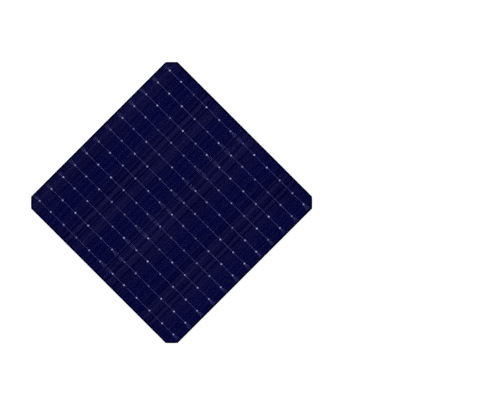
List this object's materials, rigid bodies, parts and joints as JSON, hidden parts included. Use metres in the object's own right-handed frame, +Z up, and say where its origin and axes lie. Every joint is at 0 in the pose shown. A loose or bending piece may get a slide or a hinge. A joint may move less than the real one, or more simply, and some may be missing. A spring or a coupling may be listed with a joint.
{
  "type": "solar cell",
  "caption": "Thin square silicon solar cell with clipped corners and a printed silver grid of fingers, padded busbars and forked ends on both faces; turns light into current.",
  "frame": {"origin": "under the middle of the cell, in the plane of the lowest faces of the rear busbars, which the cell rests on", "axes": "+X along the busbars, +Y along the fingers, +Z up out of the sunny face"},
  "size_m": [0.182, 0.182, 0.0002],
  "materials": {
    "wafer": "textured silicon with a dark navy anti-reflection film on the sunny face and a slate-blue one on the rear",
    "front_print": "matt fired silver paste",
    "rear_print": "matt fired silver paste"
  },
  "bodies": {
    "root": {"wafer": "wafer", "front_fingers": "front_print", "rear_fingers": "rear_print", "front_busbar_01": "front_print", "rear_busbar_01": "rear_print", "front_busbar_02": "front_print", "rear_busbar_02": "rear_print", "front_busbar_03": "front_print", "rear_busbar_03": "rear_print", "front_busbar_04": "front_print", "rear_busbar_04": "rear_print", "front_busbar_05": "front_print", "rear_busbar_05": "rear_print", "front_busbar_06": "front_print", "rear_busbar_06": "rear_print", "front_busbar_07": "front_print", "rear_busbar_07": "rear_print", "front_busbar_08": "front_print", "rear_busbar_08": "rear_print", "front_busbar_09": "front_print", "rear_busbar_09": "rear_print", "front_busbar_10": "front_print", "rear_busbar_10": "rear_print", "front_busbar_11": "front_print", "rear_busbar_11": "rear_print", "front_busbar_12": "front_print", "rear_busbar_12": "rear_print"}
  },
  "joints": []
}
